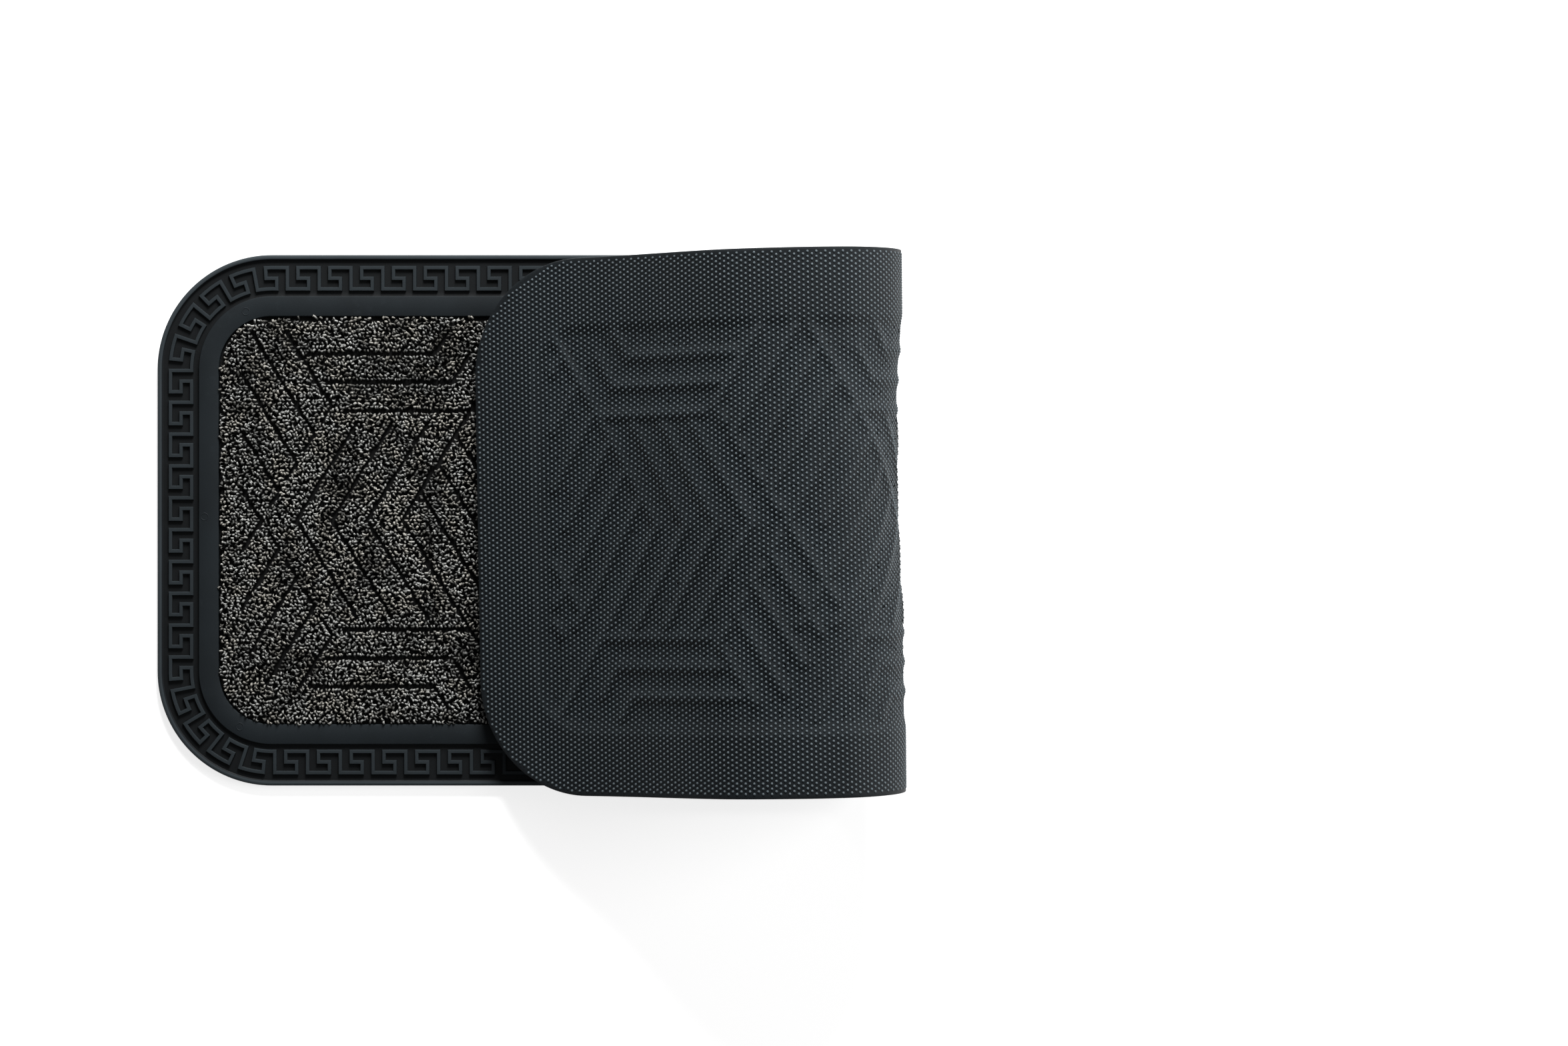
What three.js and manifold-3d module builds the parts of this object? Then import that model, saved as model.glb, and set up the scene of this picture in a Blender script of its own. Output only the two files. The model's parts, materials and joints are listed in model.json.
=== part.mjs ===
// Door mat: a moulded rubber tray with a loop-pile carpet laid into it, turned over on itself.
// The sheet bends, so it is built as a base, a run of narrow strips and a flap, each hinged to the last.
// Millimetres, +X along the mat, +Y across it, +Z up. The origin is under the centre of the folded mat.
import * as THREE from 'three';
import { mergeVertices } from 'three/addons/utils/BufferGeometryUtils.js';
import Module from 'manifold-3d';

const wasm = await Module();
wasm.setup();

// ---- driving dimensions ----
const MAT_LENGTH = 1100;
const MAT_WIDTH = 450;
const CORNER_RADIUS = 97;

const SHEET_THICKNESS = 2.4;
const BORDER_HEIGHT = 6;
const CHANNEL_DEPTH = 2.2;
const RIM_WIDTH = 4;
const CHANNEL_WIDTH = 31;
const BAND_WIDTH = 17;

const BACKING_THICKNESS = 0.8;
const PILE_HEIGHT = 4.6;
const CARPET_SIDE_GAP = 0.5;
const LAYER_GAP = 0.3;
const STRIP_GAP = 0.3;

const HINGE_ANGLE = THREE.MathUtils.degToRad(13.4);
const HINGE_SKEW = THREE.MathUtils.degToRad(0.5);
const LOWER_BEND_STRIPS = 6;
const UPPER_BEND_STRIPS = 6;
const UPPER_STRIP_LENGTH = 15.6;
const CROWN_STRIP_LENGTHS = [33, 49, 32];
const FLAP_SLOPE_LENGTH = 90;
const FLAP_MIDDLE_LENGTH = 60;
const FLAP_END_LENGTH = 74;
const FLAP_TIP_CLEARANCE = 0.8;

const CORNER_SEGMENTS = 14;

// ---- derived heights ----
const BORDER_WIDTH = RIM_WIDTH + CHANNEL_WIDTH + BAND_WIDTH;
const BACKING_BOTTOM = SHEET_THICKNESS + LAYER_GAP;
const PILE_BOTTOM = BACKING_BOTTOM + BACKING_THICKNESS + LAYER_GAP;
const PILE_TOP = PILE_BOTTOM + PILE_HEIGHT;

// ---- finishes ----
const rubber = { color: 0x2a2d30, roughness: 0.72, metalness: 0 };
const backing = { color: 0x1b1b1a, roughness: 0.95, metalness: 0 };
const pile = { color: 0x3b3a37, roughness: 1, metalness: 0 };

// A rounded rectangle set in from the mat's edge, with its near end on x = 0 before the inset.
function outline(inset) {
  const left = inset;
  const right = MAT_LENGTH - inset;
  const top = MAT_WIDTH / 2 - inset;
  const radius = Math.max(CORNER_RADIUS - inset, 1);
  const path = new THREE.Shape();
  path.moveTo(left + radius, -top);
  path.absarc(right - radius, -top + radius, radius, -Math.PI / 2, 0, false);
  path.absarc(right - radius, top - radius, radius, 0, Math.PI / 2, false);
  path.absarc(left + radius, top - radius, radius, Math.PI / 2, Math.PI, false);
  path.absarc(left + radius, -top + radius, radius, Math.PI, 1.5 * Math.PI, false);
  return path;
}

function toManifold(geometry) {
  geometry.deleteAttribute('normal');
  geometry.deleteAttribute('uv');
  const merged = mergeVertices(geometry, 1e-4);
  return new wasm.Manifold(new wasm.Mesh({
    numProp: 3,
    vertProperties: new Float32Array(merged.attributes.position.array),
    triVerts: new Uint32Array(merged.index.array),
  }));
}

function toGeometry(solid) {
  const mesh = solid.getMesh();
  const geometry = new THREE.BufferGeometry();
  geometry.setAttribute('position', new THREE.BufferAttribute(mesh.vertProperties, 3));
  geometry.setIndex(new THREE.BufferAttribute(mesh.triVerts, 1));
  geometry.computeVertexNormals();
  return geometry;
}

// An outline raised from z = bottom to z = top, turned so that the hinges run along Y.
function slab(shape, bottom, top) {
  const geometry = new THREE.ExtrudeGeometry(shape, {
    depth: top - bottom,
    bevelEnabled: false,
    curveSegments: CORNER_SEGMENTS,
  });
  geometry.translate(0, 0, bottom);
  geometry.rotateZ(-HINGE_SKEW);
  return toManifold(geometry);
}

// ---- the three layers of the whole mat, lying flat ----
function rubberTray() {
  const channel = outline(RIM_WIDTH);
  channel.holes.push(outline(RIM_WIDTH + CHANNEL_WIDTH));
  const above = BORDER_HEIGHT + 1;
  return slab(outline(0), 0, BORDER_HEIGHT)
    .subtract(slab(channel, BORDER_HEIGHT - CHANNEL_DEPTH, above))
    .subtract(slab(outline(BORDER_WIDTH), SHEET_THICKNESS, above));
}

function carpetBacking() {
  return slab(outline(BORDER_WIDTH + CARPET_SIDE_GAP), BACKING_BOTTOM, BACKING_BOTTOM + BACKING_THICKNESS);
}

function loopPile() {
  return slab(outline(BORDER_WIDTH + CARPET_SIDE_GAP), PILE_BOTTOM, PILE_TOP);
}

const layers = [
  { name: 'rubber', solid: rubberTray(), finish: rubber },
  { name: 'carpet_backing', solid: carpetBacking(), finish: backing },
  { name: 'loop_pile', solid: loopPile(), finish: pile },
];

// ---- the run of sections, from the base round the fold to the flap ----
// The sections past the lower strips, each with its length and its turn from the one before.
function upperSections() {
  const bends = [...Array(UPPER_BEND_STRIPS).fill(UPPER_STRIP_LENGTH), ...CROWN_STRIP_LENGTHS];
  return [
    ...bends.map((length) => ({ length, turn: HINGE_ANGLE })),
    { name: 'flap_slope', length: FLAP_SLOPE_LENGTH, turn: HINGE_ANGLE },
    { name: 'flap_middle', length: FLAP_MIDDLE_LENGTH, turn: -HINGE_ANGLE / 2 },
    { name: 'flap_end', length: FLAP_END_LENGTH, turn: -HINGE_ANGLE / 2 },
  ];
}

// The lower strips rise by just enough to lay the flap's tip on the carpet.
function lowerStripLength() {
  const tipHeight = PILE_TOP + FLAP_TIP_CLEARANCE + BORDER_HEIGHT;
  let heading = 0;
  let lowerSines = 0;
  for (let strip = 0; strip < LOWER_BEND_STRIPS; strip += 1) {
    heading += HINGE_ANGLE;
    lowerSines += Math.sin(heading);
  }
  let rise = 0;
  upperSections().forEach((section) => {
    heading += section.turn;
    rise += section.length * Math.sin(heading);
  });
  return (tipHeight - rise) / lowerSines;
}

function sectionList() {
  const lower = Array.from({ length: LOWER_BEND_STRIPS }, () => ({ length: lowerStripLength(), turn: HINGE_ANGLE }));
  const past = [...lower, ...upperSections()];
  const pastLength = past.reduce((sum, section) => sum + section.length, 0);
  const numbered = past.map((section, index) => ({
    name: `bend_${String(index + 1).padStart(2, '0')}`,
    ...section,
  }));
  return [{ name: 'base', length: MAT_LENGTH - pastLength, turn: 0 }, ...numbered];
}

// The space that one section takes out of the flat mat. An end that folds inwards leans back
// from its hinge by half the turn, so two neighbours meet face to face when the mat is folded.
function cutter(start, end, turnBefore, turnAfter) {
  const low = -1;
  const high = PILE_TOP + 1;
  const leanIn = Math.tan(Math.max(turnBefore, 0) / 2);
  const leanOut = Math.tan(Math.max(turnAfter, 0) / 2);
  const shape = new THREE.Shape();
  shape.moveTo(start + STRIP_GAP / 2 + low * leanIn, low);
  shape.lineTo(end - STRIP_GAP / 2 - low * leanOut, low);
  shape.lineTo(end - STRIP_GAP / 2 - high * leanOut, high);
  shape.lineTo(start + STRIP_GAP / 2 + high * leanIn, high);
  shape.closePath();
  const reach = MAT_WIDTH;
  const geometry = new THREE.ExtrudeGeometry(shape, { depth: 2 * reach, bevelEnabled: false });
  geometry.rotateX(Math.PI / 2);
  geometry.translate(0, reach, 0);
  return toManifold(geometry);
}

// ---- the mat: each section hangs on the one before it ----
function doorMat() {
  const sections = sectionList();
  const endMargin = MAT_WIDTH;
  const mat = new THREE.Group();
  const foldFrame = new THREE.Group();
  foldFrame.rotation.z = HINGE_SKEW;
  mat.add(foldFrame);

  let parent = foldFrame;
  let hingeX = 0;
  let lastLength = 0;
  sections.forEach((section, index) => {
    const isFirst = index === 0;
    const isLast = index === sections.length - 1;
    const group = new THREE.Group();
    group.position.x = lastLength;
    group.rotation.y = -section.turn;
    const start = isFirst ? -endMargin : hingeX;
    const end = isLast ? MAT_LENGTH + endMargin : hingeX + section.length;
    const turnAfter = isLast ? 0 : sections[index + 1].turn;
    const space = cutter(start, end, section.turn, turnAfter);
    layers.forEach((layer) => {
      const geometry = toGeometry(layer.solid.intersect(space));
      geometry.translate(-hingeX, 0, 0);
      const mesh = new THREE.Mesh(geometry, new THREE.MeshStandardMaterial(layer.finish));
      mesh.name = `${section.name}_${layer.name}`;
      group.add(mesh);
    });
    parent.add(group);
    parent = group;
    lastLength = section.length;
    hingeX += section.length;
  });

  mat.updateMatrixWorld(true);
  const box = new THREE.Box3().setFromObject(mat, true);
  const centre = box.getCenter(new THREE.Vector3());
  mat.position.set(-centre.x, -centre.y, -box.min.z);
  mat.updateMatrixWorld(true);
  return mat;
}

export default doorMat();
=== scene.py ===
"""A door mat folded over on itself: a moulded rubber tray, a woven carpet backing and a grooved loop pile.

Every layer is shaped on the flat mat, where a point has a distance from the near end, a distance from the
centre line and a height above the underside. Fold.place() then carries it to its place on the folded mat.
"""

import json
import math
from collections import namedtuple

import bmesh
import bpy
import numpy as np
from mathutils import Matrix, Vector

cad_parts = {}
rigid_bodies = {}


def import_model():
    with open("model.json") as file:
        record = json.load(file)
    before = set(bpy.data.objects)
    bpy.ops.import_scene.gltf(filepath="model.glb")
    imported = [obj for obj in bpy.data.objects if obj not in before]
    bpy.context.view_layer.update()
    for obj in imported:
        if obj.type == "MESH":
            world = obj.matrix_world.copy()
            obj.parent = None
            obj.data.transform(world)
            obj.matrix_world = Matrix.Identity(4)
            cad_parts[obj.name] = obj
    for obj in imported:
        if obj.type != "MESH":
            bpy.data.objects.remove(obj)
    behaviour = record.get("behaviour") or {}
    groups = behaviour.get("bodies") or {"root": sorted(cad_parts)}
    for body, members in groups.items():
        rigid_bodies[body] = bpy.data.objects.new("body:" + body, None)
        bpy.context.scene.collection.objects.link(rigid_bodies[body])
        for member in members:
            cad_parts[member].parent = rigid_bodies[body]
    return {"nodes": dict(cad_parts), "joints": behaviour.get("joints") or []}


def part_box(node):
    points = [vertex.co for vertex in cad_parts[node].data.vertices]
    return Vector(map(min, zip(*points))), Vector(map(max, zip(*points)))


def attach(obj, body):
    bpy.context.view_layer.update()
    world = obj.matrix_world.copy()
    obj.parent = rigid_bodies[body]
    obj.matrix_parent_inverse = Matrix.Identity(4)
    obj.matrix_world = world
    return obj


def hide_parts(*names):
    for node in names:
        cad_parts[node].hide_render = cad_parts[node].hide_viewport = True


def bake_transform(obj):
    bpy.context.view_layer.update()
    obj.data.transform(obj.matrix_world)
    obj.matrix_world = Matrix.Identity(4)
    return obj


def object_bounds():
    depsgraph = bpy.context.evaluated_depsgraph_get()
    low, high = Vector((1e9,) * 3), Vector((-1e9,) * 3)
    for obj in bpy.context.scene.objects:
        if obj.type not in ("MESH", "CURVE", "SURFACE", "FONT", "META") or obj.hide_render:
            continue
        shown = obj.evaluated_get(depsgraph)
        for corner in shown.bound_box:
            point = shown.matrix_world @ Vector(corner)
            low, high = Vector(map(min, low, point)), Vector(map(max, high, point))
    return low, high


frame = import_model()
CAD_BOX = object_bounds()

bl_info = {
    "name": "Folded door mat",
    "version": (1, 0, 0),
    "blender": (4, 5, 0),
    "location": "View3D > Sidebar > Door mat",
    "description": "Builds a folded rubber door mat with a grooved loop carpet",
    "category": "Object",
}

MM = 0.001
UV_MAP = "OFBake"

# ---- the notes that a mesh's points carry ----
FLAT = "flat_position"
WEAR_AND_HIGHLIGHT = "worn"
SHADE = "yarn_shade"
CELL = "chart_cell"
TURN = "turn"
GROWTH = "growth"

# ---- what the frame gives ----
TRAY_LOW, TRAY_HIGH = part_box("base_rubber")
PILE_LOW, PILE_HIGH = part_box("base_loop_pile")
BACKING_LOW, BACKING_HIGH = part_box("base_carpet_backing")
HINGES = frame["joints"]
ORIGIN = np.array([TRAY_LOW.x, (TRAY_LOW.y + TRAY_HIGH.y) / 2, 0.0])
ACROSS = np.array(HINGES[0]["axis"])
ALONG = np.array([ACROSS[1], -ACROSS[0], 0.0])
UP = np.array([0.0, 0.0, 1.0])
HALF_WIDTH = (TRAY_HIGH.y - TRAY_LOW.y) / 2
BORDER_TOP = TRAY_HIGH.z
CARPET_INSET = PILE_LOW.x - TRAY_LOW.x
PILE_TOP = PILE_HIGH.z

# ---- sizes of the moulding, in metres ----
CORNER_RADIUS = 97 * MM
SHEET_TOP = 2.4 * MM
DOT_HEIGHT = 0.7 * MM
RIM_WIDTH = 4 * MM
CHANNEL_END = 35 * MM
BORDER_WIDTH = 52 * MM

# ---- how finely the layers are meshed ----
STEP = 3.5 * MM
CORNER_STEPS = 36
END_STRIP = 0.4 * MM
MIDDLE_RING = 72 * MM
EDGE_ROUNDING = 2 * MM
SAME_POINT = 1e-6
TINY = 1e-9


def soft_step(value):
    """0 below 0, 1 above 1, and eased between."""
    value = np.clip(value, 0, 1)
    return value * value * (3 - 2 * value)


def direction(angle):
    """The unit step at an angle, forward and up."""
    return np.array([math.cos(angle), math.sin(angle)])


# ---- the fold ----
LONGEST_REACH = 32 * MM
SHORTEST_RUN = 1 * MM

# The sheet draws in from the first hinge to the last one named here. It stays put on the border and
# the stiff edge inside it, and needs the rise to reach its full depth.
SAG_DEPTH = 4.4 * MM
SAG_LAST_HINGE = 14
SAG_RISE = 50 * MM
STIFF_EDGE = 14 * MM
NEAR_SIDE_REACH = 110 * MM

Stretch = namedtuple("Stretch", "name bodies start end first_point last_point")
Bend = namedtuple("Bend", "station before after corner heading turn")


class Fold:
    """The mat's centre line, from lying flat at the near end, round the fold, to the far end on top."""

    def __init__(self):
        corners = [np.array(joint["pos_m"]) for joint in HINGES]
        turns = [math.radians(max(joint["range_deg"], key=abs)) for joint in HINGES]
        gaps = [float(np.linalg.norm(b - a)) for a, b in zip(corners, corners[1:])]
        stations = np.cumsum([float((corners[0] - ORIGIN) @ ALONG)] + gaps)
        headings = np.cumsum([0.0] + turns)
        self.length = self.far_end(corners[-1], stations[-1], headings[-1])
        last = self.length + TRAY_HIGH.z - stations[-1]
        before = [gaps[0] / 2] + [self.reach(gap) for gap in gaps]
        after = [self.reach(gap) for gap in gaps] + [last]
        self.bends = []
        for i, corner in enumerate(corners):
            flat_corner = np.array([(corner - ORIGIN) @ ALONG, corner[2]])
            self.bends.append(Bend(stations[i], before[i], after[i], flat_corner, headings[i], turns[i]))

    @staticmethod
    def reach(gap):
        """How far a bend spreads into the run between two hinges: half of it, or less on a long one."""
        return min(gap / 2, LONGEST_REACH)

    @staticmethod
    def far_end(corner, station, heading):
        """The whole flat length, from the last section's own points."""
        mesh = frame["nodes"]["flap_end_rubber"].data
        points = np.array([vertex.co for vertex in mesh.vertices])
        forward = ALONG * math.cos(heading) + UP * math.sin(heading)
        along = station + (points - corner) @ forward
        across = (points - ORIGIN) @ ACROSS
        return float((along * ALONG[0] - across * ALONG[1]).max())

    def centre_line(self, station):
        """Forward distance, height and heading at each distance along the mat."""
        forward = station.copy()
        rise = np.zeros_like(station)
        heading = np.zeros_like(station)
        for bend in self.bends:
            angle = bend.heading + bend.turn
            leave = direction(angle)
            past = station - bend.station
            beyond = past > bend.after
            forward[beyond] = bend.corner[0] + past[beyond] * leave[0]
            rise[beyond] = bend.corner[1] + past[beyond] * leave[1]
            heading[beyond] = angle
            inside = (past >= -bend.before) & (past <= bend.after)
            curve, around = self.round_bend(bend, past[inside])
            forward[inside] = curve[:, 0]
            rise[inside] = curve[:, 1]
            heading[inside] = around
        return forward, rise, heading

    def round_bend(self, bend, past):
        """The smooth curve over one hinge: its points and headings, at distances past the hinge."""
        arrive = direction(bend.heading)
        leave = direction(bend.heading + bend.turn)
        share = self.share(past + bend.before, bend.before, bend.after)[:, None]
        start = bend.corner - arrive * bend.before
        end = bend.corner + leave * bend.after
        curve = (1 - share) ** 2 * start + 2 * share * (1 - share) * bend.corner + share**2 * end
        pull = (1 - share) * bend.before * arrive + share * bend.after * leave
        around = np.arctan2(pull[:, 1], pull[:, 0])
        # Headings run from 0 to a little past half a turn, so a clearly negative one has wrapped round.
        return curve, np.where(around < -0.5, around + 2 * math.pi, around)

    @staticmethod
    def share(past, before, after):
        """How far round a bend a flat distance lies, from 0 at its start to 1 at its end."""
        difference = after - before
        if abs(difference) < TINY:
            return past / (2 * before)
        return (np.sqrt(before**2 + difference * np.maximum(past, 0)) - before) / difference

    def sag(self, station, side):
        """How far the sheet draws in round the fold: its thin middle most, its near side least."""
        first = self.bends[0].station
        last = self.bends[SAG_LAST_HINGE - 1].station
        round_fold = np.clip((station - first) / (last - first), 0, 1)
        spread = np.sin(math.pi * round_fold) ** 2
        slack = soft_step((HALF_WIDTH - BORDER_WIDTH - STIFF_EDGE - np.abs(side)) / SAG_RISE)
        broad_ripple = 0.1 * np.sin(side * 26 + 0.8)
        fine_ripple = 0.08 * np.sin(side * 95 + station * 9)
        ripple = 0.9 + broad_ripple + fine_ripple
        far_share = 1 - 0.9 * soft_step(-side / NEAR_SIDE_REACH)
        return SAG_DEPTH * spread * slack * far_share * ripple

    def place(self, flat):
        """Points on the flat mat, carried to where they lie on the folded mat."""
        station = flat[:, :2] @ ALONG[:2]
        side = flat[:, :2] @ ACROSS[:2]
        forward, rise, heading = self.centre_line(station)
        height = flat[:, 2] + self.sag(station, side)
        forward = forward - height * np.sin(heading)
        rise = rise + height * np.cos(heading)
        return ORIGIN + forward[:, None] * ALONG + side[:, None] * ACROSS + rise[:, None] * UP

    def point(self, station):
        """The point of the centre line at one distance along the mat."""
        forward, rise, _ = self.centre_line(np.array([float(station)]))
        return ORIGIN + forward[0] * ALONG + rise[0] * UP

    def stretches(self):
        """The lengths that the mat is made in: a straight one on each still run, one over each hinge."""
        runs = []
        at = 0.0
        for bend, joint in zip(self.bends, HINGES):
            start = bend.station - bend.before
            if start - at > SHORTEST_RUN:
                runs.append(self.stretch(joint["parent"], (joint["parent"],), at, start))
            end = bend.station + bend.after
            both = (joint["parent"], joint["child"])
            runs.append(self.stretch(joint["child"] + "_turn", both, start, end))
            at = end
        return runs

    def stretch(self, name, bodies, start, end):
        """One length, with the points where it starts and ends."""
        return Stretch(name, bodies, start, min(end, self.length), self.point(start), self.point(end))


FOLD = Fold()
MAT_LENGTH = FOLD.length
STRETCHES = FOLD.stretches()


def on_stretch(distance, stretch):
    """Which distances along the flat mat lie on one stretch. The last one takes all that is beyond it."""
    station = distance * ALONG[0]
    return (station >= stretch.start) & ((station < stretch.end) | (stretch is STRETCHES[-1]))


# ---- the outline: a rounded rectangle, as an inner rectangle and the ring round it ----
INNER_SIDE = HALF_WIDTH - CORNER_RADIUS
INNER_END = MAT_LENGTH - CORNER_RADIUS


def even_steps(start, end):
    """Distances from start to end, about a step apart, with a thin strip at each end."""
    count = max(int(round((end - start - 2 * END_STRIP) / STEP)), 1)
    inner = np.linspace(start + END_STRIP, end - END_STRIP, count + 1)
    return np.concatenate([[start], inner, [end]])


def column_distances():
    """Where the cross-lines of the mesh lie along the mat, with one at every stretch's end."""
    columns = []
    for stretch in STRETCHES:
        start = max(stretch.start / ALONG[0], CORNER_RADIUS)
        end = min(stretch.end / ALONG[0], INNER_END)
        columns.append(even_steps(start, end))
    # Two neighbours share a cross-line, and rounding to a tenth of a micron makes it one.
    return np.unique(np.round(np.concatenate(columns), 7))


def outline_points(columns, rows):
    """Points round the inner rectangle, anticlockwise, and the way out from each."""
    points = []
    outward = []

    def side(line, normal):
        points.extend(line)
        outward.extend([normal] * len(line))

    def corner(x, y, first_angle):
        for i in range(1, CORNER_STEPS):
            angle = first_angle + i / CORNER_STEPS * math.pi / 2
            points.append((x, y))
            outward.append((math.cos(angle), math.sin(angle)))

    side([(x, -INNER_SIDE) for x in columns], (0, -1))
    corner(INNER_END, -INNER_SIDE, -math.pi / 2)
    side([(INNER_END, y) for y in rows], (1, 0))
    corner(INNER_END, INNER_SIDE, 0)
    side([(x, INNER_SIDE) for x in columns[::-1]], (0, 1))
    corner(CORNER_RADIUS, INNER_SIDE, math.pi / 2)
    side([(CORNER_RADIUS, y) for y in rows[::-1]], (-1, 0))
    corner(CORNER_RADIUS, -INNER_SIDE, math.pi)
    return np.array(points), np.array(outward)


class Sheet:
    """A closed layer of the flat mat, from its cross-section at the border, with a regular grid inside.

    profile holds (distance in from the edge, height) from the underside's middle round the edge to the
    top's middle, and turn_over is the index of the edge's outermost point.
    """

    def __init__(self, profile, turn_over, underside=None):
        self.profile = np.array(profile)
        self.turn_over = turn_over
        self.underside = underside
        self.columns = column_distances()
        self.rows = np.linspace(-INNER_SIDE, INNER_SIDE, int(2 * INNER_SIDE / STEP) + 1)
        self.points = []
        self.faces = []
        self.charts = []
        self.on_top = []
        self.make_ring()
        self.make_inside(0, False)
        self.make_inside(-1, True)
        self.points = np.concatenate(self.points)
        self.faces = np.concatenate(self.faces)
        self.charts = np.concatenate(self.charts)
        self.on_top = np.concatenate(self.on_top)

    def heights(self, plan, height):
        """The underside's heights: its own rule where it has one, and else the profile's height."""
        if self.underside is None:
            return np.full(len(plan), height)
        return self.underside(plan)

    def make_ring(self):
        """The border all round, from the grid below, round the edge, to the grid on top."""
        base, outward = outline_points(self.columns, self.rows)
        count = len(base)
        rings = []
        for i, (inset, height) in enumerate(self.profile):
            plan = base + outward * (CORNER_RADIUS - inset)
            below = i < self.turn_over and inset > EDGE_ROUNDING
            z = self.heights(plan, height) if below else np.full(count, height)
            rings.append(np.column_stack([plan, z]))
        self.points.append(np.concatenate(rings))
        lengths = np.linalg.norm(np.diff(self.profile, axis=0), axis=1)
        run = np.concatenate([[0], np.cumsum(lengths)])
        around = np.arange(count)
        ahead = (around + 1) % count
        for i in range(len(self.profile) - 1):
            low = i * count
            high = (i + 1) * count
            self.faces.append(np.column_stack([low + around, low + ahead, high + ahead, high + around]))
            top = i >= self.turn_over
            way_out = run[-1] - run if top else run
            inner = base + outward * way_out[i]
            outer = base + outward * way_out[i + 1]
            self.charts.append(np.stack([inner[around], inner[ahead], outer[ahead], outer[around]], axis=1))
            self.on_top.append(np.full(count, top))

    def make_inside(self, ring, top):
        """The grid inside the border, at the height of the profile's first or last point."""
        x, y = np.meshgrid(self.columns, self.rows, indexing="ij")
        plan = np.column_stack([x.ravel(), y.ravel()])
        height = self.profile[ring][1]
        z = np.full(len(plan), height) if top else self.heights(plan, height)
        first = sum(len(points) for points in self.points)
        self.points.append(np.column_stack([plan, z]))
        index = first + np.arange(len(plan)).reshape(x.shape)
        corners = [index[:-1, :-1], index[1:, :-1], index[1:, 1:], index[:-1, 1:]]
        if not top:
            corners.reverse()
        quads = np.column_stack([corner.ravel() for corner in corners])
        self.faces.append(quads)
        self.charts.append(plan[quads - first])
        self.on_top.append(np.full(len(quads), top))

    def part(self, name, stretch):
        """The layer's own length of one stretch, as a closed flat mesh."""
        keep = on_stretch(self.points[self.faces][:, :, 0].mean(axis=1), stretch)
        chart = self.charts[keep].reshape(-1, 2)
        on_top = np.repeat(self.on_top[keep], 4)
        return closed_mesh(name, self.points, self.faces[keep], chart, on_top, stretch)


def closed_mesh(name, points, quads, chart, on_top, stretch):
    """A closed mesh of some of a layer's faces; chart and on_top have a row for each face's each corner."""
    used, faces = np.unique(quads, return_inverse=True)
    mesh = bpy.data.meshes.new(name)
    mesh.from_pydata(points[used].tolist(), [], faces.reshape(-1, 4).tolist())
    set_chart(mesh, chart, on_top, stretch)
    close_ends(mesh)
    return mesh


def set_chart(mesh, plan, on_top, stretch):
    """Lays the faces out on the unit square: the top's on one half, the underside's on the other."""
    slack = 15 * MM
    low = np.array([stretch.start / ALONG[0] - slack, -HALF_WIDTH - slack])
    size = np.array([stretch.end / ALONG[0] + slack, HALF_WIDTH + slack]) - low
    chart = (plan - low) / size
    chart[:, 0] = chart[:, 0] / 2 + np.where(on_top, 0.5, 0)
    layer = mesh.uv_layers.new(name=UV_MAP)
    layer.uv.foreach_set("vector", chart.ravel().astype(np.float32))


def close_ends(mesh):
    """Joins the points that meet, closes the cut ends and turns every face outwards."""
    shell = bmesh.new()
    shell.from_mesh(mesh)
    bmesh.ops.remove_doubles(shell, verts=shell.verts, dist=SAME_POINT)
    bmesh.ops.dissolve_degenerate(shell, edges=shell.edges, dist=SAME_POINT / 10)
    open_edges = [edge for edge in shell.edges if edge.is_boundary]
    caps = bmesh.ops.holes_fill(shell, edges=open_edges, sides=0)["faces"]
    bmesh.ops.recalc_face_normals(shell, faces=shell.faces)
    for face in shell.faces:
        face.smooth = True
    for face in caps:
        face.smooth = False
        for edge in face.edges:
            edge.smooth = False
    shell.to_mesh(mesh)
    shell.free()


# ---- the carpet's grooves ----
# Slanted lines go this far across the mat for each step along it, and lie this far apart.
GROOVE_RISE = 1.62
CHEVRON_PITCH = 30 * MM

# The pattern repeats in cells. Chevron lines end at the arm's reach, and the long ones at the pattern's.
CELL_PITCH = 240 * MM
FIRST_CELL = 103 * MM
CELLS = 5
ARM_REACH = 83 * MM
PATTERN_REACH = 160 * MM
PATTERN_END = 72 * MM
CHEVRON_LINES = 6
LONG_LINE = 4

# The lines that lean back run between two that lean forward, so many pitches behind the cell's centre.
NEAR_LINE = 0.5
UPPER_FAR_LINE = 4.5
LOWER_FAR_LINE = 3.2
UPPER_BACK_LINES = range(-3, 5)
LOWER_BACK_LINES = range(0, 5)
HOOK = 14 * MM

# Straight bars fill the wedge beyond the long line.
BARS = 3
BAR_GAP = 24.4 * MM
BAR_SHIFT = 3 * MM
BAR_CLEARANCE = 8 * MM

# A groove shows below as a ridge, which fades out towards the border.
SHORTEST_SHARE = 0.02
RIDGE_HALF = 4.5 * MM
RIDGE_DROP = 1.6 * MM
RIDGE_FADE = 14 * MM


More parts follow.
